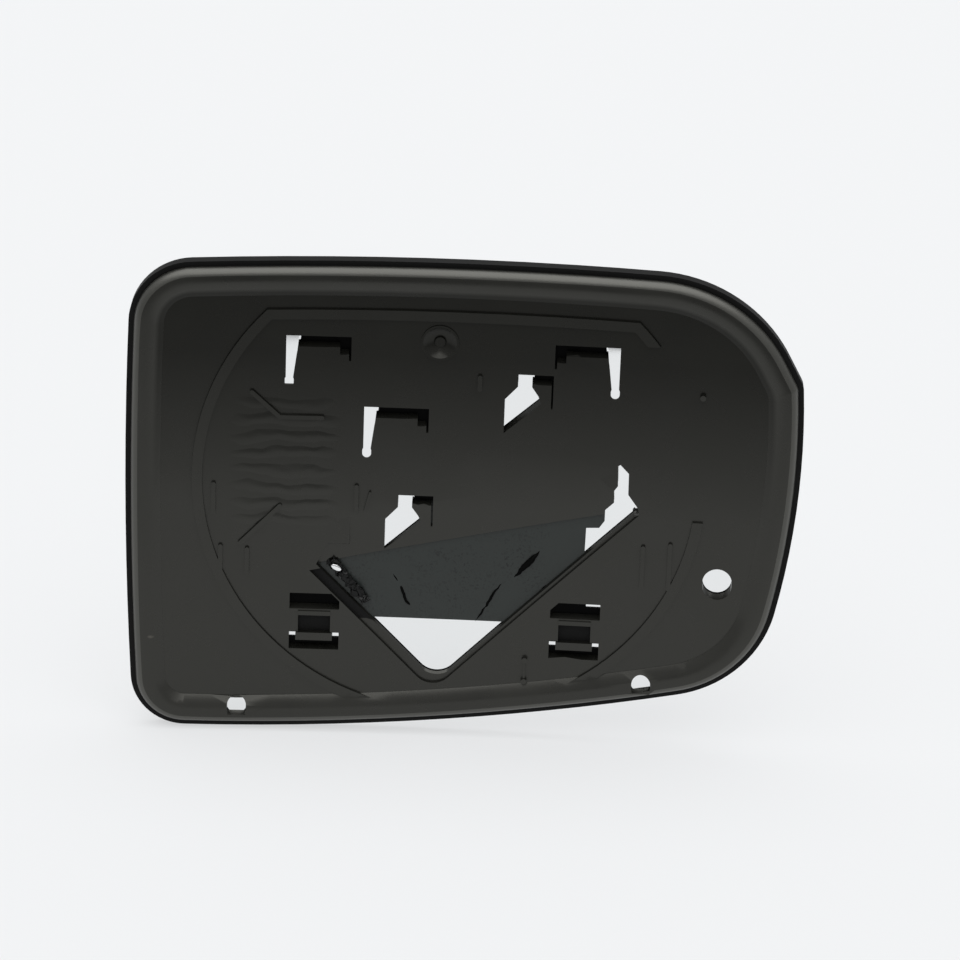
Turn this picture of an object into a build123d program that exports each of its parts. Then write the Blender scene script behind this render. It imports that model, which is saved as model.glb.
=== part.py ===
from build123d import *
import os
from math import atan, degrees, pi, sqrt, tan

# Glass unit of a car door mirror: moulded backing plate, bonding film and convex glass.
# The rear of the plate faces -Y, the reflecting face +Y, and +Z is up as on the car.
# The origin is on the actuator's axis, on the rear surface of the plate's panel.
# Plan places are (x, z). Depths are counted from that rear surface towards the glass, along the mirror's sphere.

# Glass and layers
mirror_radius = 1400.0
panel_t = 2.0
film_t = 0.3
bond_gap = 0.15
glass_t = 2.0

# Outline: how far each side reaches from the axis, the radius of its bow, where the bow is fullest, and the
# shoulder, where the top edge turns down, by its distance from the right side
reach_left = 87.4
reach_right = 94.6
reach_top = 62.75
reach_bottom = 73.8
bow_left = 1100.0
bow_top = 1500.0
bow_right = 230.0
bow_bottom = 600.0
crown_left_z = 4.0
crown_top_x = 5.0
crown_right_z = 13.0
crown_bottom_x = -66.0
shoulder_in = 16.4
kink_z = 32.6
corner_top_left = 17.5
corner_shoulder = 42.0
corner_bottom_right = 33.0
corner_bottom_left = 15.0
corner_kink = 5.0

# Rim: a lip round the glass, a rolled crest, and a slope down to the panel
lip_w = 1.5
lip_wall = 2.2
lip_proud = 0.2
lip_rear = 1.2
crest_h = 1.5
crest_round = 2.4
rim_w = 9.5
slope_w = 2.8
slope_foot = 0.08
tray_kink = 6.0
core_from = 4.0
core_to = 7.0
core_skin = 1.9
glass_gap = 0.25

# Ring that the actuator's head sits in
ring_r = 69.4
ring_w = 2.8
ring_h = 0.8
ring_from_top = 13.3
ring_break_low = -8.0
ring_break_high = 42.0

# Spring tabs, placed by the upper outer corner of the slit; a third tab is one step from the left one
tab_x = 44.6
tab_z = 41.0
tab_step = (21.2, -19.9)
slit_top_w = 3.5
slit_foot_w = 1.9
slit_len = 12.7
slit_end_r = 1.2
slot_len = 17.4
slot_w = 2.2
tab_side_w = 0.6
tab_side_len = 6.0
nick_w = 2.4
nick_len = 4.2

# Keyholes, placed by the upper left corner of the neck; the second is one step from the first
key_x = -13.6
key_z = -4.2
key_step = (31.2, 36.3)
neck_w = 3.8
neck_len = 3.5
bulb_left = 3.4
bulb_right = 2.6
bulb_z = 7.3
key_len = 16.2
key_slot_len = 5.7
key_slot_w = 1.9
key_side_w = 0.5
key_side_len = 8.7

# V opening: a right angle that stands on its point, with a sunk ledge along it and a ramp at its upper edge
vee_x = -1.8
vee_z = -58.8
vee_left_arm = 47.5
vee_right_arm = 75.0
vee_round = 6.0
ledge_left = 2.6
ledge_right = 1.2
ledge_depth = 1.0
ramp_len = 12.0
ramp_lean = 10.0
ramp_over = 1.0
ramp_edge = 0.4
tip_notch = [
    (45.4, 7.0),
    (46.0, 7.4),
    (48.4, 4.9),
    (48.5, -1.2),
    (51.0, -4.6),
    (51.6, -6.2),
    (42.5, -8.6),
    (42.5, -6.5),
    (44.8, -4.1),
    (44.6, -0.3),
    (45.6, 1.2),
]

# Snap windows: an upper slot, a sunk catch between two lips, and a lower slot
window_x = 35.6
window_z = -33.8
window_w = 13.6
window_slot = 3.7
window_cut = 2.2
window_low = 11.4
window_low_slot = 4.1
catch_w = 8.8
catch_from = 6.3
catch_depth = 1.3
catch_lip = 1.2
catch_lip_h = 0.5
catch_bar = 2.2
catch_bar_w = 10.0

# Round hole, and two D holes in the slope of the lower rim
hole_x = 73.7
hole_z = -25.4
hole_r = 4.0
dee_r = 2.6
dee_flat = 1.2
dee_places = [(-56.3, -66.9), (54.4, -56.0)]

# Dished socket
dish_x = -3.6
dish_z = 40.2
dish_r = 4.0
dish_depth = 1.3
dish_pip_r = 1.4
dish_pip_h = 0.6
dish_edge_w = 1.1
dish_edge_h = 0.35

# Ribs by their two ends, and pips
rib_w = 1.2
rib_h = 0.8
thin_rib_w = 0.6
root = 0.6
pip_r = 0.8
pip_h = 1.25
ribs = [
    ((53.2, -16.2), (53.2, -27.9)),
    ((60.5, -15.1), (60.5, -27.7)),
    ((-63.5, -2.3), (-63.5, -10.5)),
    ((-61.4, -20.4), (-61.4, -26.8)),
    ((-54.2, -21.1), (-54.2, -28.1)),
    ((-24.9, -2.0), (-24.9, -15.4)),
    ((7.4, 31.0), (7.4, 27.5)),
    ((-53.5, 24.6), (-45.9, 17.6)),
    ((-45.9, 17.6), (-34.6, 17.7)),
    ((-45.5, -8.2), (-56.1, -19.3)),
]
thin_ribs = [
    ((-21.2, -3.6), (-23.7, -13.9)),
    ((22.3, -50.8), (22.3, -57.0)),
]
pips = [(67.1, 28.3), (13.4, -11.2), (22.3, -50.8), (22.3, -57.0)]

# Bonding film: its border, and how far it stays clear of the openings that show bare glass
film_from = 4.5
film_clear = 0.5
film_edge_z = -41.0
film_step = [(42.5, 9.0), (42.5, -10.0), (41.1, -12.1), (37.6, -12.3), (37.4, -24.0), (56.0, -24.0), (56.0, 9.0)]
film_gap_low = 2.2
film_gap_top = 1.8
film_gap_w = 3.9

film_rear = panel_t + bond_gap
film_front = film_rear + film_t
glass_rear = film_front + bond_gap
glass_front = glass_rear + glass_t
lip_front = glass_front + lip_proud
ball_r = mirror_radius - glass_front
ball_centre = Vector(0, -ball_r, 0)
block = reach_right
half = sqrt(0.5)
pick_tol = 0.02
os.makedirs("parts", exist_ok=True)


def ball(depth):
    """Solid inside the mirror's sphere at this depth, which is the rear side of it."""
    return Pos(ball_centre) * Sphere(ball_r + depth)


def sphere_y(x, z):
    """Place along Y of the panel's rear surface."""
    return sqrt(ball_r ** 2 - x ** 2 - z ** 2) - ball_r


def prism(face):
    """Straight block over a plan face, through the whole unit."""
    return extrude(Plane.XZ * face, block, both=True)


def layer(face, rear, front):
    """Curved slab over a plan face, between two depths."""
    return (prism(face) & ball(front)) - ball(rear)


def bar(x0, z0, x1, z1):
    """Plan rectangle between two corners."""
    return Pos((x0 + x1) / 2, (z0 + z1) / 2) * Rectangle(abs(x1 - x0), abs(z1 - z0))


def disc(x, z, r):
    """Plan circle."""
    return Pos(x, z) * Circle(r)


def shape(points):
    """Plan face with straight edges."""
    return make_face(Polyline(*points, close=True))


def rib_face(start, end, width):
    """Plan face of a rib with round ends."""
    return SlotOverall((Vector(end) - Vector(start)).length + width, width).locate(
        Location((Vector(start) + Vector(end)) / 2, (0, 0, Line(start, end).tangent_angle_at(0)))
    )


def round_at(face, point, radius):
    """Plan face with the corner nearest to a point rounded."""
    return fillet(face.vertices().sort_by_distance(point)[0], radius)


def crest_face(body):
    """Face of the rim's crest."""
    spheres = body.faces().filter_by(GeomType.SPHERE)
    return max((f for f in spheres if abs(f.radius - ball_r + crest_h) < pick_tol), key=lambda f: f.area)


def edges_at(body, depth):
    """Edges that run along the rim at one depth."""
    return [e for e in body.edges() if abs((e @ 0.5 - ball_centre).length - ball_r - depth) < pick_tol]


# Outline: five bowed sides, met in corners, and the corners rounded
def top_at(x):
    return reach_top - bow_top + sqrt(bow_top ** 2 - (x - crown_top_x) ** 2)


def bottom_at(x):
    return -reach_bottom + bow_bottom - sqrt(bow_bottom ** 2 - (x - crown_bottom_x) ** 2)


def left_at(z):
    return -reach_left + bow_left - sqrt(bow_left ** 2 - (z - crown_left_z) ** 2)


def right_at(z):
    return reach_right - bow_right + sqrt(bow_right ** 2 - (z - crown_right_z) ** 2)


def meet(side_at, edge_at):
    """Corner of an upright side x = side_at(z) and a level edge z = edge_at(x), found by stepping to and fro."""
    x, z = side_at(0), edge_at(0)
    for _ in range(30):
        x, z = side_at(z), edge_at(x)
    return x, z


top_left = meet(left_at, top_at)
bottom_left = meet(left_at, bottom_at)
bottom_right = meet(right_at, bottom_at)
shoulder_x = reach_right - shoulder_in
shoulder = (shoulder_x, top_at(shoulder_x))
kink = (right_at(kink_z), kink_z)
right_mid = (kink_z + bottom_right[1]) / 2
outline = make_face([
    ThreePointArc(top_left, (0, top_at(0)), shoulder),
    Line(shoulder, kink),
    ThreePointArc(kink, (right_at(right_mid), right_mid), bottom_right),
    ThreePointArc(bottom_right, (0, bottom_at(0)), bottom_left),
    ThreePointArc(bottom_left, (left_at(0), 0), top_left),
])
outline = round_at(outline, top_left, corner_top_left)
outline = round_at(outline, shoulder, corner_shoulder)
outline = round_at(outline, bottom_right, corner_bottom_right)
outline = round_at(outline, bottom_left, corner_bottom_left)
outline = round_at(outline, kink, corner_kink)


def inset(distance):
    """Outline moved inward."""
    return offset(outline, -distance, kind=Kind.INTERSECTION)


# Rim: blank, ledge behind the lip, crest rolled over in three facets of a quarter round, tray with its slope
tray = round_at(inset(rim_w), (kink[0] - rim_w, kink[1] - rim_w / 2), tray_kink)
plate = layer(outline, -crest_h, lip_front)
plate -= prism(outline - inset(lip_w)) & ball(lip_rear)
first_cut = crest_round * (2 - sqrt(2))
second_cut = crest_round * (sqrt(2) - 1 - tan(pi / 16))
plate = chamfer(crest_face(plate).edges(), first_cut)
plate = chamfer(crest_face(plate).edges() + edges_at(plate, first_cut - crest_h), second_cut)
plate -= prism(tray) & ball(0)
plate = chamfer(crest_face(plate).inner_wires()[0].edges(), slope_w, crest_h - slope_foot)

# Front of the plate: recess for the glass, and a groove that cores out the rim
plate -= prism(inset(lip_wall)) - ball(panel_t)
plate -= prism(inset(core_from) - inset(core_to)) - ball(core_skin - crest_h)


# Actuator ring: a circle flattened along the top edge, with a plain stretch at the right
def ring_area(margin):
    flat_top = disc(crown_top_x, reach_top - bow_top, bow_top - ring_from_top - margin)
    return Circle(ring_r - margin) & flat_top


ring = ring_area(0) - ring_area(ring_w)
ring -= bar(ring_r / 2, ring_break_low, ring_r + ring_w, ring_break_high)
plate += layer(ring & inset(rim_w - slope_w), -ring_h, root)

# Ribs and pips that stand on the panel
for start, end in ribs:
    plate += layer(rib_face(start, end, rib_w), -rib_h, root)
for start, end in thin_ribs:
    plate += layer(rib_face(start, end, thin_rib_w), -rib_h, root)
for place in pips:
    plate += layer(disc(*place, pip_r), -pip_h, root)

# Dished socket with a raised edge and a pip in the middle
dish_ball_r = (dish_r ** 2 + dish_depth ** 2) / (2 * dish_depth)
dish_y = sphere_y(dish_x, dish_z) + dish_depth
plate += layer(disc(dish_x, dish_z, dish_r + dish_edge_w), -dish_edge_h, root)
plate -= Pos(dish_x, dish_y - dish_ball_r, dish_z) * Sphere(dish_ball_r)
plate += layer(disc(dish_x, dish_z, dish_pip_r), dish_depth - dish_pip_h, panel_t - dish_pip_h / 2)


# Spring tab at the left: slit with a round end, slot over the free end, narrow slit at the far side
def tab_slit(grow):
    foot_z = tab_z - slit_len
    slit = shape([
        (-tab_x - grow, tab_z + grow),
        (-tab_x + slit_top_w + grow, tab_z + grow),
        (-tab_x + slit_foot_w + grow, foot_z),
        (-tab_x - grow, foot_z),
    ])
    return slit + disc(-tab_x + slit_foot_w / 2, foot_z, slit_end_r + grow)


tab_far = -tab_x + slot_len
nick_far = tab_far - tab_side_w
tab = tab_slit(0) + bar(-tab_x + slit_top_w / 2, tab_z, tab_far, tab_z - slot_w)
tab += bar(tab_far - tab_side_w, tab_z, tab_far, tab_z - tab_side_len)
tab += bar(nick_far - nick_w, tab_z, nick_far, tab_z - nick_len)


# Keyhole: neck, bulb with a slanted lower edge, and the slot and narrow slit of the tab beside it
def keyhole(grow):
    neck_right = key_x + neck_w + grow
    shoulder_z = key_z - bulb_z
    return shape([
        (key_x - grow, key_z + grow),
        (neck_right, key_z + grow),
        (neck_right, key_z - neck_len),
        (neck_right + bulb_right, shoulder_z),
        (key_x - bulb_left - grow, key_z - key_len - 2 * grow),
        (key_x - bulb_left - grow, shoulder_z),
        (key_x - grow, key_z - neck_len),
    ])


key_far = key_x + neck_w + key_slot_len
key = keyhole(0) + bar(key_x + neck_w / 2, key_z, key_far, key_z - key_slot_w)
key += bar(key_far - key_side_w, key_z, key_far, key_z - key_side_len)


# V opening, with its two lower edges moved outward by a distance each
def vee(left_grow, right_grow):
    point = Vector(vee_x, vee_z) + Vector(-half, -half) * left_grow + Vector(half, -half) * right_grow
    left = Vector(vee_x, vee_z) + Vector(-half, half) * vee_left_arm + Vector(-half, -half) * left_grow
    right = Vector(vee_x, vee_z) + Vector(half, half) * vee_right_arm + Vector(half, -half) * right_grow
    return round_at(shape([point, right, left]), point, vee_round)


# Ramp that thins the panel towards the upper edge of the V
vee_left = Vector(vee_x, vee_z) + Vector(-half, half) * vee_left_arm
vee_right = Vector(vee_x, vee_z) + Vector(half, half) * vee_right_arm
along = (vee_right - vee_left).normalized()
above = Vector(-along.Y, along.X)
ramp_mid = (vee_left + vee_right) / 2 + above * ramp_len
ramp = shape([
    vee_left,
    vee_right,
    vee_right + above * (ramp_len + ramp_over) - along * ramp_lean,
    vee_left + above * (ramp_len + ramp_over) + along * ramp_lean,
])
ramp_axis = Axis((ramp_mid.X, sphere_y(ramp_mid.X, ramp_mid.Y), ramp_mid.Y), (along.X, 0, along.Y))
ramp_ball = ball(0).rotate(ramp_axis, degrees(atan((panel_t - ramp_edge) / ramp_len)))
plate -= prism(ramp) & ramp_ball
plate -= prism(vee(ledge_left, ledge_right)) & ball(ledge_depth)

# Snap window round its own middle line, for the left place
slot_end = window_w / 2
slot_low = window_z - window_slot
low = window_z - window_low
window = shape([
    (-slot_end, window_z),
    (slot_end - window_cut, window_z),
    (slot_end, window_z - window_cut),
    (slot_end, slot_low),
    (-slot_end, slot_low),
])
window += bar(-slot_end, low, slot_end, low - window_low_slot)
window -= bar(-catch_bar_w / 2, low, catch_bar_w / 2, low - catch_bar)
catch_z = window_z - catch_from
catch = bar(-catch_w / 2, catch_z, catch_w / 2, low)
lips = bar(-catch_w / 2, catch_z + catch_lip, catch_w / 2, catch_z)
lips += bar(-catch_bar_w / 2, low, catch_bar_w / 2, low - catch_bar)
left_window = Pos(-window_x, 0)
right_window = Pos(window_x, 0) * Rot(0, 180, 0)
for place in (left_window, right_window):
    plate += layer(place * lips, -catch_lip_h, root)
    plate -= prism(place * catch) & ball(catch_depth)
    plate -= prism(place * window)


# Openings straight through the panel
def dee(x, z):
    return disc(x, z, dee_r) - bar(x - dee_r, z - dee_flat, x + dee_r, z - 2 * dee_r)


openings = [tab, mirror(tab, about=Plane.YZ), Pos(*tab_step) * tab, key, Pos(*key_step) * key]
openings += [vee(0, 0), shape(tip_notch), disc(hole_x, hole_z, hole_r)]
openings += [dee(*place) for place in dee_places]
for face in openings:
    plate -= prism(face)

# Bonding film over the whole seat, left out where the openings show bare glass
film = layer(inset(film_from), film_rear, film_front)
bare_slit = tab_slit(film_clear)
bare_key = keyhole(film_clear)
bare_end = slot_end + film_clear
bare_window = bar(-bare_end, low + film_clear, bare_end, low - film_gap_low)
bare_window += bar(-bare_end, window_z + film_clear, film_gap_w - slot_end, window_z - film_gap_top)
bare = [bare_slit, mirror(bare_slit, about=Plane.YZ), Pos(*tab_step) * bare_slit]
bare += [bare_key, Pos(*key_step) * bare_key, left_window * bare_window, right_window * bare_window]
bare += [vee(ledge_left, ledge_left) & bar(-reach_left, film_edge_z, reach_right, -reach_bottom)]
bare += [shape(film_step), disc(hole_x, hole_z, hole_r + 2 * film_clear)]
bare += [disc(*place, dee_r + 2 * film_clear) for place in dee_places]
for face in bare:
    film -= prism(face)

# Convex glass
glass = layer(inset(lip_wall + glass_gap), glass_rear, glass_front)

plate.label = "backing_plate"
film.label = "bonding_film"
glass.label = "mirror_glass"
for node in (plate, film, glass):
    export_step(node, f"parts/{node.label}.step")
    print(node.label, round(node.volume), "mm3", len(node.solids()), "solid", node.is_valid)
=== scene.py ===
import math

import bmesh
import bpy
from mathutils import Matrix, Vector


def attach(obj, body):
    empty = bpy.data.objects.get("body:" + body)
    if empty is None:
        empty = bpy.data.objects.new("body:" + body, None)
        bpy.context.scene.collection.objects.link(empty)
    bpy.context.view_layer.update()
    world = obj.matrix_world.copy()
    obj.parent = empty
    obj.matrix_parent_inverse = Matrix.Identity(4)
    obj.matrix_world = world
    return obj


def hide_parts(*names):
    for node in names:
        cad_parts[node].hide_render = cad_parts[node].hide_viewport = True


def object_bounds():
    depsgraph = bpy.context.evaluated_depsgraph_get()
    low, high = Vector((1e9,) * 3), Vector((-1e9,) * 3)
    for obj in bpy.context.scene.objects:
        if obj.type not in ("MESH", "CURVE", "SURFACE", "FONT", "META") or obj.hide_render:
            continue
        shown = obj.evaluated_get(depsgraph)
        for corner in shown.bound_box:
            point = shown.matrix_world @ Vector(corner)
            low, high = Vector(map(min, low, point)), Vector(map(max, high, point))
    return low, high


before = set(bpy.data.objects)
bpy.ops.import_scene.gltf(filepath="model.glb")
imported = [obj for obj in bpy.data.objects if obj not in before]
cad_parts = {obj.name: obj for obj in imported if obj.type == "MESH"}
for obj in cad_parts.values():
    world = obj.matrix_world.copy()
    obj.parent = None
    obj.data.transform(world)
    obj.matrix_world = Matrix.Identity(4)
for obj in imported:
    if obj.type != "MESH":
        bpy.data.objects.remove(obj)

cad_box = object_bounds()


# Backing plate: one injection moulding in black ABS with a rolled rim, actuator ring, tabs and windows.
# It is satin black from a finely eroded tool. Its upper panel reflects less, as painted shade; lip, ledge and catch
# pockets take a darker, duller copy as painted shade, and the crest a lighter, more reflecting copy as a painted
# highlight. The lower edges of its openings are drafted here, where the solid leaves them square.
mm = 0.001
ball_r = 1395.4 * mm
ball_centre = Vector((0.0, -ball_r, 0.0))


def linear(code):
    """Linear colour of an sRGB hex value."""
    parts = [int(code[i:i + 2], 16) / 255 for i in (1, 3, 5)]
    return [c / 12.92 if c <= 0.04045 else ((c + 0.055) / 1.055) ** 2.4 for c in parts] + [1.0]


def add(tree, kind, inputs, **settings):
    """Adds a node: settings are its properties, inputs are values or other nodes' outputs."""
    made = tree.nodes.new(kind)
    for name, value in settings.items():
        setattr(made, name, value)
    for name, value in inputs.items():
        if isinstance(value, bpy.types.NodeSocket):
            tree.links.new(value, made.inputs[name])
        else:
            made.inputs[name].default_value = value
    return made


def new_material(name):
    """Empty node material and its tree."""
    made = bpy.data.materials.new(name)
    made.use_nodes = True
    made.node_tree.nodes.clear()
    return made, made.node_tree


def per_mm(pitch):
    """Texture scale that gives features of this pitch in millimetres."""
    return 1000.0 / pitch


satin_abs, tree = new_material("moulded_black_abs")
place = add(tree, "ShaderNodeTexCoord", {}).outputs["Object"]
grain = add(tree, "ShaderNodeTexNoise", {"Vector": place, "Scale": per_mm(0.9), "Detail": 3.0, "Roughness": 0.6})
flow = add(tree, "ShaderNodeTexNoise", {"Vector": place, "Scale": per_mm(22.0), "Detail": 4.0, "Roughness": 0.55})
tone = add(tree, "ShaderNodeMix", {"Factor": flow.outputs["Fac"], "A": linear("#0c0c0b"), "B": linear("#131310")},
           data_type="RGBA")
scuff_place = Vector((-80.1, -3.1, -47.1)) * mm
scuff_squash = (0.55, 0.4, 1.0)
scuff_core = 0.2 * mm
scuff_edge = 0.8 * mm
away = add(tree, "ShaderNodeVectorMath", {0: place, 1: scuff_place}, operation="SUBTRACT").outputs["Vector"]
stretched = add(tree, "ShaderNodeVectorMath", {0: away, 1: scuff_squash}, operation="MULTIPLY").outputs["Vector"]
reach = add(tree, "ShaderNodeVectorMath", {0: stretched}, operation="LENGTH").outputs["Value"]
scuff = add(tree, "ShaderNodeMapRange", {"Value": reach, "From Min": scuff_core, "From Max": scuff_edge,
                                         "To Min": 0.7, "To Max": 0.0})
marked = add(tree, "ShaderNodeMix", {"Factor": scuff.outputs["Result"], "A": tone.outputs["Result"],
                                     "B": linear("#76726a")}, data_type="RGBA")
rough = add(tree, "ShaderNodeMapRange", {"Value": flow.outputs["Fac"], "From Min": 0.3, "From Max": 0.7,
                                         "To Min": 0.22, "To Max": 0.34})
# Painted shade: the upper panel gets a weaker reflection, standing in for the darker reflection that falls there.
panel_from = ball_r - 1.2 * mm
panel_to = ball_r - 0.6 * mm
panel_shade_from_z = -8 * mm
panel_shade_to_z = 36 * mm
from_centre = add(tree, "ShaderNodeVectorMath", {0: place, 1: ball_centre}, operation="DISTANCE").outputs["Value"]
on_panel = add(tree, "ShaderNodeMapRange", {"Value": from_centre, "From Min": panel_from, "From Max": panel_to})
height = add(tree, "ShaderNodeSeparateXYZ", {"Vector": place}).outputs["Z"]
upper = add(tree, "ShaderNodeMapRange", {"Value": height, "From Min": panel_shade_from_z, "From Max": panel_shade_to_z})
upper_panel_shade = add(tree, "ShaderNodeMath", {0: on_panel.outputs["Result"], 1: upper.outputs["Result"]},
             operation="MULTIPLY")
gloss = add(tree, "ShaderNodeMapRange", {"Value": upper_panel_shade.outputs[0], "To Min": 0.52, "To Max": 0.24})
bump = add(tree, "ShaderNodeBump", {"Height": grain.outputs["Fac"], "Strength": 0.12, "Distance": 0.05 * mm})
skin = add(tree, "ShaderNodeBsdfPrincipled", {"Base Color": marked.outputs["Result"],
                                              "Roughness": rough.outputs["Result"],
                                              "Specular IOR Level": gloss.outputs["Result"],
                                              "Specular Tint": linear("#fffef5"),
                                              "Normal": bump.outputs["Normal"], "IOR": 1.5})
add(tree, "ShaderNodeOutputMaterial", {"Surface": skin.outputs["BSDF"]})

# Painted shade: a darker, duller copy of the black ABS for lip, ledge, lip top and catch pockets.
painted_shade_abs, tree = new_material("painted_shade_black_abs")
place = add(tree, "ShaderNodeTexCoord", {}).outputs["Object"]
grain = add(tree, "ShaderNodeTexNoise", {"Vector": place, "Scale": per_mm(0.5), "Detail": 3.0, "Roughness": 0.7})
tone = add(tree, "ShaderNodeMix", {"Factor": grain.outputs["Fac"], "A": linear("#050505"), "B": linear("#0b0b0a")},
           data_type="RGBA")
bump = add(tree, "ShaderNodeBump", {"Height": grain.outputs["Fac"], "Strength": 0.3, "Distance": 0.05 * mm})
skin = add(tree, "ShaderNodeBsdfPrincipled", {"Base Color": tone.outputs["Result"], "Roughness": 0.6,
                                              "Normal": bump.outputs["Normal"], "IOR": 1.25})
add(tree, "ShaderNodeOutputMaterial", {"Surface": skin.outputs["BSDF"]})

# Painted highlight: a lighter, more reflecting copy of the black ABS for the crest.
crest_highlight_abs, tree = new_material("crest_highlight_black_abs")
place = add(tree, "ShaderNodeTexCoord", {}).outputs["Object"]
grain = add(tree, "ShaderNodeTexNoise", {"Vector": place, "Scale": per_mm(1.2), "Detail": 3.0, "Roughness": 0.6})
tone = add(tree, "ShaderNodeMix", {"Factor": grain.outputs["Fac"], "A": linear("#131312"), "B": linear("#1c1c19")},
           data_type="RGBA")
skin = add(tree, "ShaderNodeBsdfPrincipled", {"Base Color": tone.outputs["Result"], "Roughness": 0.42,
                                              "Specular IOR Level": 1.0, "Specular Tint": linear("#fffef5")})
add(tree, "ShaderNodeOutputMaterial", {"Surface": skin.outputs["BSDF"]})

panel_t = 2.0 * mm
lip_rear = 1.2 * mm
catch_depth = 1.3 * mm
ledge_depth = 1.0 * mm
film_edge_z = -41.0 * mm
depth_slack = 0.05 * mm
draft = math.tan(math.radians(24.0))
dee_places = [Vector((-56.3, -66.9)) * mm, Vector((54.4, -56.0)) * mm]
dee_reach = 3.2 * mm
tray_x = (-76 * mm, 80 * mm)
tray_z = (-60.5 * mm, 50 * mm)
groove_corner = Vector((45.0, -40.0)) * mm
shoulder_corner = Vector((58.0, 30.0)) * mm
lip_top_z = 30 * mm
lip_wall_depth = panel_t + 2 * mm
wall_lean = 0.3
wall_up = 0.15
smooth_angle = math.radians(32)


def depth_of(point):
    """Depth of a point below the panel's rear surface, along the mirror's sphere."""
    return (point - ball_centre).length - ball_r


def near_dee(point):
    """Whether a point is at a D hole of the lower rim."""
    return any((Vector((point.x, point.z)) - dee).length < dee_reach for dee in dee_places)


def in_tray(point):
    """Whether a point is within the panel, clear of the groove that cores out the rim from the front."""
    inside = tray_x[0] < point.x < tray_x[1] and tray_z[0] < point.z < tray_z[1]
    return inside and not (point.x > groove_corner.x and point.z < groove_corner.y)


source = bmesh.new()
source.from_mesh(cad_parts["backing_plate"].data)
bmesh.ops.remove_doubles(source, verts=source.verts, dist=1e-6)
ledge = [f for f in source.faces if all(abs(depth_of(v.co) - ledge_depth) < depth_slack for v in f.verts)]
around = {v for f in ledge for v in f.verts} | {e for f in ledge for e in f.edges}
bmesh.ops.bisect_plane(source, geom=ledge + list(around), plane_co=(0, 0, film_edge_z), plane_no=(0, 0, 1))
bmesh.ops.triangulate(source, faces=source.faces)
source.normal_update()
source.verts.index_update()
source.faces.index_update()
# Faces that take the painted-shade copy, and crest faces that take the painted-highlight copy.
painted_shade_faces = set()
crest_faces = set()
lower_edges = {}
for face in source.faces:
    depths = [depth_of(v.co) for v in face.verts]
    middle = face.calc_center_median()
    for depth, here in ((lip_rear, True), (catch_depth, in_tray(middle)),
                        (ledge_depth, middle.z > film_edge_z and middle.x < 0)):
        if here and all(abs(d - depth) < depth_slack for d in depths):
            painted_shade_faces.add(face.index)
    outward = face.normal.x * middle.x + face.normal.z * middle.z
    leaning = math.hypot(face.normal.x, face.normal.z) > wall_lean
    at_rim = not in_tray(middle) or (middle.x > shoulder_corner.x and middle.z > shoulder_corner.y)
    if outward > 0 and leaning and max(depths) < lip_rear + depth_slack and at_rim:
        crest_faces.add(face.index)
    faces_up = abs(face.normal.y) < wall_lean and face.normal.z > wall_up
    if faces_up and middle.z > lip_top_z and max(depths) > lip_wall_depth:
        painted_shade_faces.add(face.index)
    through = abs(max(depths) - panel_t) < depth_slack and in_tray(middle)
    if faces_up and (through or near_dee(middle)):
        lower_edges.update({v: panel_t - d for v, d in zip(face.verts, depths)})
for vert, rise in lower_edges.items():
    vert.co.z -= draft * rise
plate_mesh = bpy.data.meshes.new("plate_moulding")
plate_mesh.from_pydata([v.co[:] for v in source.verts], [], [[v.index for v in f.verts] for f in source.faces])
source.free()
plate_mesh.shade_smooth()
plate_mesh.set_sharp_from_angle(angle=smooth_angle)
plate_mesh.materials.append(satin_abs)
plate_mesh.materials.append(painted_shade_abs)
plate_mesh.materials.append(crest_highlight_abs)
for index in crest_faces:
    plate_mesh.polygons[index].material_index = 2
for index in painted_shade_faces:
    plate_mesh.polygons[index].material_index = 1
plate = bpy.data.objects.new("plate_moulding", plate_mesh)
bpy.context.scene.collection.objects.link(plate)
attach(plate, "root")
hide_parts("backing_plate")


# Flow ripples: soft level waves that the plastic froze into beside the actuator's seat, left of the tabs.
# They are part of the moulding, little over a tenth of a millimetre high and about five millimetres apart.
def new_group(name, inputs):
    """Empty geometry node group with named inputs, and its input node."""
    group = bpy.data.node_groups.new(name, "GeometryNodeTree")
    group.interface.new_socket("Geometry", in_out="OUTPUT", socket_type="NodeSocketGeometry")
    for label, kind in inputs.items():
        group.interface.new_socket(label, in_out="INPUT", socket_type=kind)
    return group, group.nodes.new("NodeGroupInput").outputs


def on_sphere(group, geometry):
    """Bends geometry that was laid out on a flat panel onto the panel's sphere."""
    spot = add(group, "ShaderNodeSeparateXYZ", {"Vector": add(group, "GeometryNodeInputPosition", {}).outputs[0]})
    across = add(group, "ShaderNodeMath", {0: spot.outputs["X"], 1: spot.outputs["X"]}, operation="MULTIPLY")
    square = add(group, "ShaderNodeMath", {0: spot.outputs["Z"], 1: spot.outputs["Z"], 2: across.outputs[0]},
                 operation="MULTIPLY_ADD")
    fall = add(group, "ShaderNodeMath", {0: square.outputs[0], 1: -0.5 / ball_r}, operation="MULTIPLY")
    shift = add(group, "ShaderNodeCombineXYZ", {"Y": fall.outputs[0]})
    return add(group, "GeometryNodeSetPosition", {"Geometry": geometry, "Offset": shift.outputs[0]}).outputs[0]


def end_group(group, geometry, material):
    """Shading, material and output of a node group."""
    shaded = add(group, "GeometryNodeSetShadeSmooth", {"Geometry": geometry, "Shade Smooth": True}).outputs[0]
    coated = add(group, "GeometryNodeSetMaterial", {"Geometry": shaded, "Material": material}).outputs[0]
    add(group, "NodeGroupOutput", {"Geometry": coated})


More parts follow.
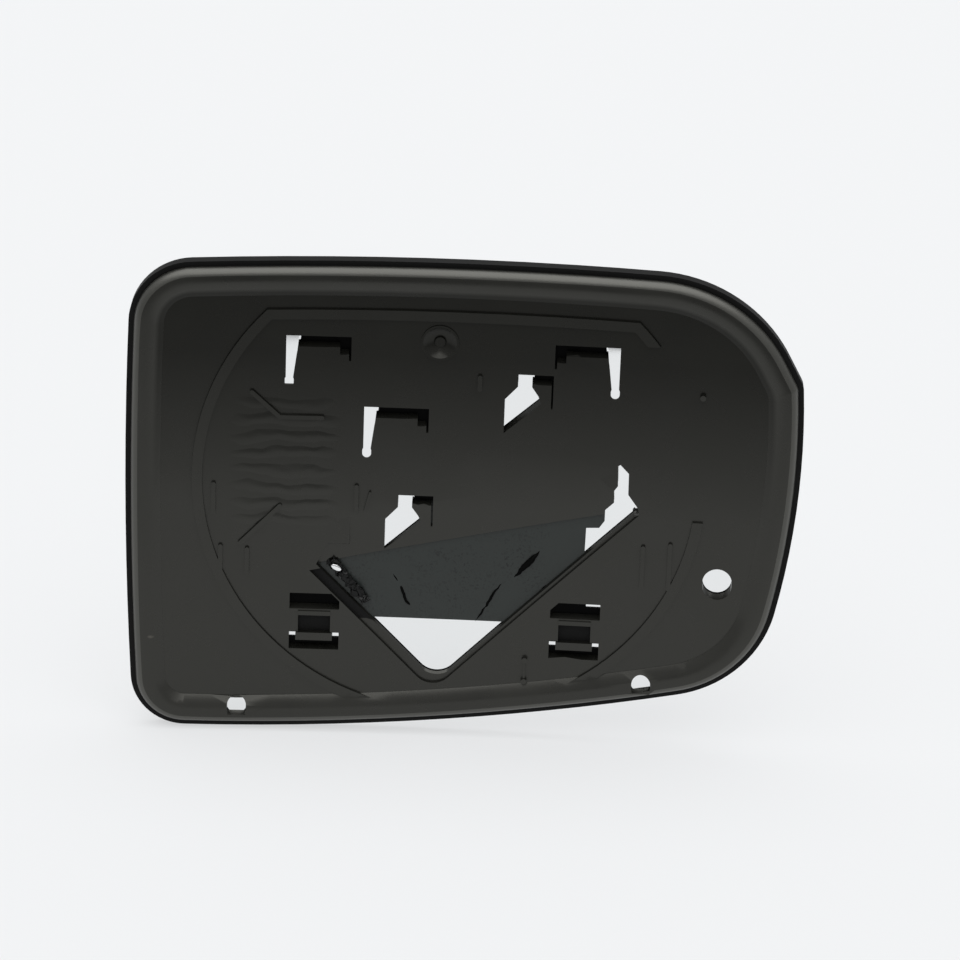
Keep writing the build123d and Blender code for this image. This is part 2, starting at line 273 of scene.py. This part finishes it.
def grow(name, group, values):
    """Piece that a node group makes from these values, as a plain mesh."""
    piece = bpy.data.objects.new(name, bpy.data.meshes.new(name))
    bpy.context.scene.collection.objects.link(piece)
    made = piece.modifiers.new(name, "NODES")
    made.node_group = group
    for socket in group.interface.items_tree:
        if socket.in_out == "INPUT":
            made[socket.identifier] = values[socket.name]
    bpy.context.view_layer.update()
    mesh = bpy.data.meshes.new_from_object(piece.evaluated_get(bpy.context.evaluated_depsgraph_get()))
    piece.modifiers.clear()
    piece.data = mesh
    mesh.name = name
    return piece


ripple_group, given = new_group("flow_ripples", {"Middle": "NodeSocketVector", "Size": "NodeSocketVector",
                                                 "Pitch": "NodeSocketFloat", "Height": "NodeSocketFloat",
                                                 "Fade": "NodeSocketFloat", "Sunk": "NodeSocketFloat"})
stray_pitch = 14.0
stray_waves = 1.3
block = add(ripple_group, "GeometryNodeMeshCube", {"Size": given["Size"], "Vertices X": 80, "Vertices Y": 150})
spot = add(ripple_group, "ShaderNodeSeparateXYZ",
           {"Vector": add(ripple_group, "GeometryNodeInputPosition", {}).outputs[0]}).outputs
size = add(ripple_group, "ShaderNodeSeparateXYZ", {"Vector": given["Size"]}).outputs
wander = add(ripple_group, "ShaderNodeTexNoise", {"Scale": per_mm(stray_pitch), "Detail": 2.0})
turns = add(ripple_group, "ShaderNodeMath", {0: spot["Y"], 1: given["Pitch"]}, operation="DIVIDE")
strayed = add(ripple_group, "ShaderNodeMath", {0: wander.outputs["Fac"], 1: stray_waves, 2: turns.outputs[0]},
              operation="MULTIPLY_ADD")
angle = add(ripple_group, "ShaderNodeMath", {0: strayed.outputs[0], 1: 2 * math.pi}, operation="MULTIPLY")
crest = add(ripple_group, "ShaderNodeMath", {0: angle.outputs[0]}, operation="SINE")
wave = add(ripple_group, "ShaderNodeMapRange", {"Value": crest.outputs[0], "From Min": -1.0})
height = add(ripple_group, "ShaderNodeMath", {0: wave.outputs["Result"], 1: given["Height"]}, operation="MULTIPLY")
for axis in ("X", "Y"):
    off_middle = add(ripple_group, "ShaderNodeMath", {0: spot[axis]}, operation="ABSOLUTE")
    half_size = add(ripple_group, "ShaderNodeMath", {0: size[axis], 1: 0.5}, operation="MULTIPLY")
    fade_from = add(ripple_group, "ShaderNodeMath", {0: half_size.outputs[0], 1: given["Fade"]},
                    operation="SUBTRACT")
    fade = add(ripple_group, "ShaderNodeMapRange", {"Value": off_middle.outputs[0],
                                                    "From Min": half_size.outputs[0],
                                                    "From Max": fade_from.outputs[0]},
               interpolation_type="SMOOTHSTEP")
    height = add(ripple_group, "ShaderNodeMath", {0: height.outputs[0], 1: fade.outputs["Result"]},
                 operation="MULTIPLY")
proud = add(ripple_group, "ShaderNodeMath", {0: given["Sunk"], 1: height.outputs[0]}, operation="SUBTRACT")
is_rear = add(ripple_group, "ShaderNodeMath", {0: spot["Z"], 1: 0.0}, operation="GREATER_THAN")
depth = add(ripple_group, "ShaderNodeMix", {"Factor": is_rear.outputs[0], "A": size["Z"], "B": proud.outputs[0]})
upright = add(ripple_group, "ShaderNodeCombineXYZ", {"X": spot["X"], "Y": depth.outputs["Result"], "Z": spot["Y"]})
placed = add(ripple_group, "ShaderNodeVectorMath", {0: upright.outputs[0], 1: given["Middle"]}, operation="ADD")
waves = add(ripple_group, "GeometryNodeSetPosition", {"Geometry": block.outputs["Mesh"],
                                                      "Position": placed.outputs[0]})
real = add(ripple_group, "GeometryNodeRealizeInstances", {"Geometry": waves.outputs[0]})
end_group(ripple_group, on_sphere(ripple_group, real.outputs[0]), satin_abs)
ripples = grow("flow_ripples", ripple_group, {
    "Middle": Vector((-44.5, 0.0, 4.0)) * mm, "Size": Vector((36.0, 46.0, 1.0)) * mm, "Pitch": 4.9 * mm,
    "Height": 0.15 * mm, "Fade": 10.0 * mm, "Sunk": 0.02 * mm})
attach(ripples, "root")


# Bonding film: a dark double-sided film between plate and glass, cut from a sheet and pressed on by hand.
# In the V it is a dull grey-green with fine specks of trapped air; elsewhere it is painted near black and barely
# reflects, as painted shade where it lies behind the slots.
dull_film, tree = new_material("dull_adhesive_film")
place = add(tree, "ShaderNodeTexCoord", {}).outputs["Object"]
spot = add(tree, "ShaderNodeSeparateXYZ", {"Vector": place})
specks = add(tree, "ShaderNodeTexNoise", {"Vector": place, "Scale": per_mm(0.8), "Detail": 2.0, "Roughness": 0.7})
clouds = add(tree, "ShaderNodeTexNoise", {"Vector": place, "Scale": per_mm(9.0), "Detail": 3.0})
dotted = add(tree, "ShaderNodeMapRange", {"Value": specks.outputs["Fac"], "From Min": 0.36, "From Max": 0.44,
                                          "To Min": 0.0, "To Max": 1.0})
thick = add(tree, "ShaderNodeMapRange", {"Value": clouds.outputs["Fac"], "From Min": 0.35, "From Max": 0.6,
                                         "To Min": 0.2, "To Max": 1.0})
clear = add(tree, "ShaderNodeMath", {0: dotted.outputs["Result"], 1: thick.outputs["Result"]}, operation="MAXIMUM")
tone = add(tree, "ShaderNodeMix", {"Factor": clear.outputs[0], "A": linear("#0b0d0c"), "B": linear("#222624")},
           data_type="RGBA")
# Painted shade: outside the V the film's colour and reflection drop to near black.
vee_axis_x = -1.8 * mm
vee_foot_z = (-62.5 * mm, -61.5 * mm)
vee_head_z = (-6.0 * mm, -8.0 * mm)
side = add(tree, "ShaderNodeMath", {0: spot.outputs["X"], 1: vee_axis_x}, operation="SUBTRACT")
slant = add(tree, "ShaderNodeMath", {0: side.outputs[0]}, operation="ABSOLUTE")
above = add(tree, "ShaderNodeMath", {0: spot.outputs["Z"], 1: slant.outputs[0]}, operation="SUBTRACT")
in_vee = add(tree, "ShaderNodeMapRange", {"Value": above.outputs[0], "From Min": vee_foot_z[0],
                                          "From Max": vee_foot_z[1]})
not_high = add(tree, "ShaderNodeMapRange", {"Value": spot.outputs["Z"], "From Min": vee_head_z[0],
                                            "From Max": vee_head_z[1]})
lit = add(tree, "ShaderNodeMath", {0: in_vee.outputs["Result"], 1: not_high.outputs["Result"]},
          operation="MULTIPLY")
shade = add(tree, "ShaderNodeMix", {"Factor": lit.outputs[0], "A": linear("#020202"), "B": tone.outputs["Result"]},
            data_type="RGBA")
gloss = add(tree, "ShaderNodeMapRange", {"Value": lit.outputs[0], "To Min": 0.05, "To Max": 0.45})
bump = add(tree, "ShaderNodeBump", {"Height": specks.outputs["Fac"], "Strength": 0.25, "Distance": 0.1 * mm})
skin = add(tree, "ShaderNodeBsdfPrincipled", {"Base Color": shade.outputs["Result"], "Roughness": 0.42,
                                              "Specular IOR Level": gloss.outputs["Result"],
                                              "Normal": bump.outputs["Normal"], "IOR": 1.45})
add(tree, "ShaderNodeOutputMaterial", {"Surface": skin.outputs["BSDF"]})
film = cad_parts["bonding_film"]
film.data.materials.clear()
film.data.materials.append(dull_film)


# Film wrinkles: folds and a torn, crumpled edge where the film was pressed into the V, and a dark patch behind the
# left window.
# They are the same film; folds and crumpled edge are near black and barely reflect as painted shade of the creases
# and of the shade along the V's left edge, the crumpled edge glints, and the patch is painted shade in the window's
# upper gap.
# Painted shade: near-black, weakly reflecting film for the crumpled strip along the V's shaded left edge.
crumpled_shade, tree = new_material("crumpled_film_painted_shade")
place = add(tree, "ShaderNodeTexCoord", {}).outputs["Object"]
wear = add(tree, "ShaderNodeTexNoise", {"Vector": place, "Scale": per_mm(2.0), "Detail": 2.0})
tone = add(tree, "ShaderNodeMix", {"Factor": wear.outputs["Fac"], "A": linear("#030303"), "B": linear("#0c0d0c")},
           data_type="RGBA")
skin = add(tree, "ShaderNodeBsdfPrincipled", {"Base Color": tone.outputs["Result"], "Roughness": 0.1,
                                              "Specular IOR Level": 0.2, "IOR": 1.5})
add(tree, "ShaderNodeOutputMaterial", {"Surface": skin.outputs["BSDF"]})

# Painted shade: near-black matte film for the folds, where crease shade falls.
shaded, tree = new_material("crease_shade_film")
place = add(tree, "ShaderNodeTexCoord", {}).outputs["Object"]
wear = add(tree, "ShaderNodeTexNoise", {"Vector": place, "Scale": per_mm(1.0), "Detail": 2.0})
tone = add(tree, "ShaderNodeMix", {"Factor": wear.outputs["Fac"], "A": linear("#020202"), "B": linear("#070807")},
           data_type="RGBA")
skin = add(tree, "ShaderNodeBsdfPrincipled", {"Base Color": tone.outputs["Result"], "Roughness": 0.6, "IOR": 1.12})
add(tree, "ShaderNodeOutputMaterial", {"Surface": skin.outputs["BSDF"]})

fold_group, given = new_group("film_fold", {"Start": "NodeSocketVector", "End": "NodeSocketVector",
                                            "Width": "NodeSocketFloat", "Wander": "NodeSocketFloat"})
line = add(fold_group, "GeometryNodeCurvePrimitiveLine", {"Start": given["Start"], "End": given["End"]})
path = add(fold_group, "GeometryNodeResampleCurve", {"Curve": line.outputs[0], "Count": 40})
along = add(fold_group, "GeometryNodeSplineParameter", {})
turn = add(fold_group, "ShaderNodeMath", {0: along.outputs["Factor"], 1: math.pi}, operation="MULTIPLY")
taper = add(fold_group, "ShaderNodeMath", {0: turn.outputs[0]}, operation="SINE")
half = add(fold_group, "ShaderNodeMath", {0: taper.outputs[0], 1: given["Width"]}, operation="MULTIPLY")
noise = add(fold_group, "ShaderNodeTexNoise", {"Scale": per_mm(2.5), "Detail": 2.0})
noise_middle = (0.5, 0.5, 0.5)
drift = add(fold_group, "ShaderNodeVectorMath", {0: noise.outputs["Color"], 1: noise_middle}, operation="SUBTRACT")
sway = add(fold_group, "ShaderNodeVectorMath", {0: drift.outputs[0], "Scale": given["Wander"]}, operation="SCALE")
bent = add(fold_group, "GeometryNodeSetPosition", {"Geometry": path.outputs[0], "Offset": sway.outputs[0]})
ring = add(fold_group, "GeometryNodeCurvePrimitiveCircle", {"Resolution": 8, "Radius": 0.5})
tube = add(fold_group, "GeometryNodeCurveToMesh", {"Curve": bent.outputs[0], "Profile Curve": ring.outputs[0],
                                                   "Scale": half.outputs[0], "Fill Caps": True})
real = add(fold_group, "GeometryNodeRealizeInstances", {"Geometry": tube.outputs[0]})
end_group(fold_group, on_sphere(fold_group, real.outputs[0]), shaded)
film_rear = 2.15
folds = {
    "film_fold_left": ((-14.6, -27.0), (-7.9, -41.4), 0.8, 2.6),
    "film_fold_right": ((15.6, -29.0), (8.4, -41.4), 0.8, 1.6),
    "film_fold_upper": ((18.6, -28.0), (25.4, -19.6), 1.9, 1.2),
    "film_fold_edge": ((21.0, -36.6), (33.0, -25.2), 1.3, 2.4),
}
for name, (start, end, width, wander) in folds.items():
    fold = grow(name, fold_group, {
        "Start": Vector((start[0], film_rear, start[1])) * mm, "End": Vector((end[0], film_rear, end[1])) * mm,
        "Width": width * mm, "Wander": wander * mm})
    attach(fold, "root")

strip_group, given = new_group("crumpled_strip", {"Middle": "NodeSocketVector", "Turn": "NodeSocketVector",
                                                  "Length": "NodeSocketFloat", "Width": "NodeSocketFloat",
                                                  "Crumple": "NodeSocketFloat"})
strip_t = 0.08 * mm
extent = add(strip_group, "ShaderNodeCombineXYZ", {"X": given["Length"], "Y": given["Width"], "Z": strip_t})
sheet = add(strip_group, "GeometryNodeMeshCube", {"Size": extent.outputs[0], "Vertices X": 70, "Vertices Y": 18})
noise = add(strip_group, "ShaderNodeTexNoise", {"Scale": per_mm(1.7), "Detail": 1.0, "Roughness": 0.5})
drift = add(strip_group, "ShaderNodeVectorMath", {0: noise.outputs["Color"], 1: noise_middle}, operation="SUBTRACT")
sway = add(strip_group, "ShaderNodeVectorMath", {0: drift.outputs[0], "Scale": given["Crumple"]}, operation="SCALE")
bent = add(strip_group, "GeometryNodeSetPosition", {"Geometry": sheet.outputs["Mesh"], "Offset": sway.outputs[0]})
laid = add(strip_group, "GeometryNodeTransform", {"Geometry": bent.outputs[0], "Translation": given["Middle"],
                                                  "Rotation": given["Turn"]})
real = add(strip_group, "GeometryNodeRealizeInstances", {"Geometry": laid.outputs[0]})
end_group(strip_group, on_sphere(strip_group, real.outputs[0]), crumpled_shade)
strip = grow("crumpled_strip", strip_group, {
    "Middle": Vector((-26.6, 1.1, -30.2)) * mm, "Turn": Vector((math.pi / 2, math.radians(49), 0.0)),
    "Length": 16.0 * mm, "Width": 3.0 * mm, "Crumple": 3.2 * mm})
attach(strip, "root")

# Painted shade: a dark patch of film behind the left window, where its upper gap is in shade.
shade_patch_low = Vector((-43.0, 2.2, -36.2)) * mm
shade_patch_high = Vector((-38.0, 2.4, -33.2)) * mm
source = bmesh.new()
bmesh.ops.create_cube(source, size=1.0)
for vert in source.verts:
    vert.co = shade_patch_low + (vert.co + Vector((0.5, 0.5, 0.5))) * (shade_patch_high - shade_patch_low)
    vert.co.y -= (vert.co.x ** 2 + vert.co.z ** 2) / (2 * ball_r)
shade_patch_mesh = bpy.data.meshes.new("window_shade_patch")
source.to_mesh(shade_patch_mesh)
source.free()
shade_patch_mesh.materials.append(dull_film)
shade_patch = bpy.data.objects.new("window_shade_patch", shade_patch_mesh)
bpy.context.scene.collection.objects.link(shade_patch)
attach(shade_patch, "root")


# Mirror glass: convex float glass, silvered, bonded into the plate's front recess.
# The silvering reflects almost neutral white, with the faint haze of handling. A small mirror blob in front of the
# film is a painted highlight for a glint on the film. The silvering also shows in the D holes and slits, where the
# solid's walls are deeper than the real ones, by thin pieces of its own.
silvered, tree = new_material("silvered_glass")
place = add(tree, "ShaderNodeTexCoord", {}).outputs["Object"]
haze = add(tree, "ShaderNodeTexNoise", {"Vector": place, "Scale": per_mm(30.0), "Detail": 4.0})
rough = add(tree, "ShaderNodeMapRange", {"Value": haze.outputs["Fac"], "From Min": 0.35, "From Max": 0.75,
                                         "To Min": 0.03, "To Max": 0.09})
skin = add(tree, "ShaderNodeBsdfPrincipled", {"Base Color": linear("#eff0f0"), "Metallic": 1.0,
                                              "Roughness": rough.outputs["Result"]})
add(tree, "ShaderNodeOutputMaterial", {"Surface": skin.outputs["BSDF"]})
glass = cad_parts["mirror_glass"]
glass.data.materials.clear()
glass.data.materials.append(silvered)

# Painted highlight: a small mirror blob in front of the film for a glint on it.
glint_middle = Vector((-29.9, 0.35, -26.2)) * mm
glint_half = Vector((1.5, 0.15, 0.75)) * mm
glint_turn = Matrix.Rotation(math.radians(28), 3, "Y")
source = bmesh.new()
bmesh.ops.create_uvsphere(source, u_segments=24, v_segments=12, radius=1.0)
for vert in source.verts:
    vert.co = glint_middle + glint_turn @ (vert.co * glint_half)
    vert.co.y -= (vert.co.x ** 2 + vert.co.z ** 2) / (2 * ball_r)
glint_mesh = bpy.data.meshes.new("film_glint_blob")
source.to_mesh(glint_mesh)
source.free()
glint_mesh.shade_smooth()
glint_mesh.materials.append(silvered)
glint_blob = bpy.data.objects.new("film_glint_blob", glint_mesh)
bpy.context.scene.collection.objects.link(glint_blob)
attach(glint_blob, "root")

spot_depth = 0.25 * mm
spot_t = 0.1 * mm
spot_r = 2.8 * mm
spot_sides = 32
tab_step = Vector((21.2, -19.9)) * mm
slit_plan = [Vector(point) * mm for point in ((-45.2, 41.6), (-41.1, 41.6), (-42.45, 28.6), (-42.2, 27.4),
                                              (-42.6, 26.2), (-44.7, 26.2), (-45.2, 27.6))]
round_plan = [Vector((math.cos(turn), math.sin(turn))) * spot_r
              for turn in (2 * math.pi * side / spot_sides for side in range(spot_sides))]
hole_plans = [[dee + point for point in round_plan] for dee in dee_places]
hole_plans += [slit_plan, [point + tab_step for point in slit_plan], [Vector((-p.x, p.y)) for p in slit_plan]]
source = bmesh.new()
for plan in hole_plans:
    layers = [[source.verts.new((p.x, depth - p.length_squared / (2 * ball_r), p.y)) for p in plan]
              for depth in (spot_depth, spot_depth + spot_t)]
    for layer in layers:
        source.faces.new(layer)
    for side in range(len(plan)):
        source.faces.new((layers[0][side - 1], layers[0][side], layers[1][side], layers[1][side - 1]))
bmesh.ops.recalc_face_normals(source, faces=source.faces)
hole_glass_mesh = bpy.data.meshes.new("glass_in_holes")
source.to_mesh(hole_glass_mesh)
source.free()
hole_glass_mesh.materials.append(silvered)
hole_glass = bpy.data.objects.new("glass_in_holes", hole_glass_mesh)
bpy.context.scene.collection.objects.link(hole_glass)
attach(hole_glass, "root")


# Studio: a white shooting table lit from below that runs on as the backdrop, a large softbox overhead and a lower
# lamp above the camera, in a white tent. The unit stands on its lower edge.
table_acrylic, tree = new_material("lit_table_acrylic")
place = add(tree, "ShaderNodeTexCoord", {}).outputs["Object"]
tooth = add(tree, "ShaderNodeTexNoise", {"Vector": place, "Scale": per_mm(3.0), "Detail": 2.0})
bump = add(tree, "ShaderNodeBump", {"Height": tooth.outputs["Fac"], "Strength": 0.03, "Distance": 0.2 * mm})
skin = add(tree, "ShaderNodeBsdfPrincipled", {"Base Color": linear("#868788"), "Roughness": 0.9,
                                              "Specular IOR Level": 0.1, "Normal": bump.outputs["Normal"],
                                              "Emission Color": linear("#fdfeff"), "Emission Strength": 0.56})
add(tree, "ShaderNodeOutputMaterial", {"Surface": skin.outputs["BSDF"]})
table_half = 4.0
table_front = -0.27
table_gap = 0.5 * mm
table_z = cad_box[0][2] - table_gap
table_mesh = bpy.data.meshes.new("table")
table_mesh.from_pydata([(-table_half, table_front, table_z), (table_half, table_front, table_z),
                        (table_half, table_half, table_z), (-table_half, table_half, table_z)], [], [(0, 1, 2, 3)])
table_mesh.materials.append(table_acrylic)
table = bpy.data.objects.new("table", table_mesh)
bpy.context.scene.collection.objects.link(table)

surround = bpy.data.worlds.new("white_tent")
surround.use_nodes = True
tree = surround.node_tree
tree.nodes.clear()
way = add(tree, "ShaderNodeTexCoord", {}).outputs["Generated"]
height = add(tree, "ShaderNodeSeparateXYZ", {"Vector": way}).outputs["Z"]
cover = add(tree, "ShaderNodeMapRange", {"Value": height, "From Min": -0.05, "From Max": 0.1, "To Min": 0.3,
                                         "To Max": 0.6})
sky = add(tree, "ShaderNodeBackground", {"Color": linear("#fdfeff"), "Strength": cover.outputs["Result"]})
add(tree, "ShaderNodeOutputWorld", {"Surface": sky.outputs["Background"]})
bpy.context.scene.world = surround

lamps = {"overhead_softbox": (76.0, 84.0, 2.7), "front_lamp": (34.0, 18.0, 0.12)}
for name, (rise, spread, energy) in lamps.items():
    lamp = bpy.data.lights.new(name, "SUN")
    lamp.energy = energy
    lamp.angle = math.radians(spread)
    holder = bpy.data.objects.new(name, lamp)
    towards = Vector((0.0, -math.cos(math.radians(rise)), math.sin(math.radians(rise))))
    holder.matrix_world = towards.to_track_quat("Z", "Y").to_matrix().to_4x4()
    bpy.context.scene.collection.objects.link(holder)

elevation = math.radians(22.0)
azimuth = math.radians(0.5)
roll = math.radians(2.1)
distance = 1.2
target = Vector((0.00834, 0.0, 0.00112))
back = Vector((math.sin(azimuth) * math.cos(elevation), -math.cos(azimuth) * math.cos(elevation),
               math.sin(elevation)))
level = Vector((math.cos(azimuth), math.sin(azimuth), 0.0))
upright = back.cross(level)
right = level * math.cos(roll) + upright * math.sin(roll)
up = upright * math.cos(roll) - level * math.sin(roll)
lens = bpy.data.cameras.new("camera")
lens.lens = 166.72
lens.sensor_width = 36.0
camera = bpy.data.objects.new("camera", lens)
camera.matrix_world = Matrix.Translation(target + back * distance) @ Matrix((right, up, back)).transposed().to_4x4()
bpy.context.scene.collection.objects.link(camera)
bpy.context.scene.camera = camera
bpy.context.scene.view_settings.view_transform = "Standard"
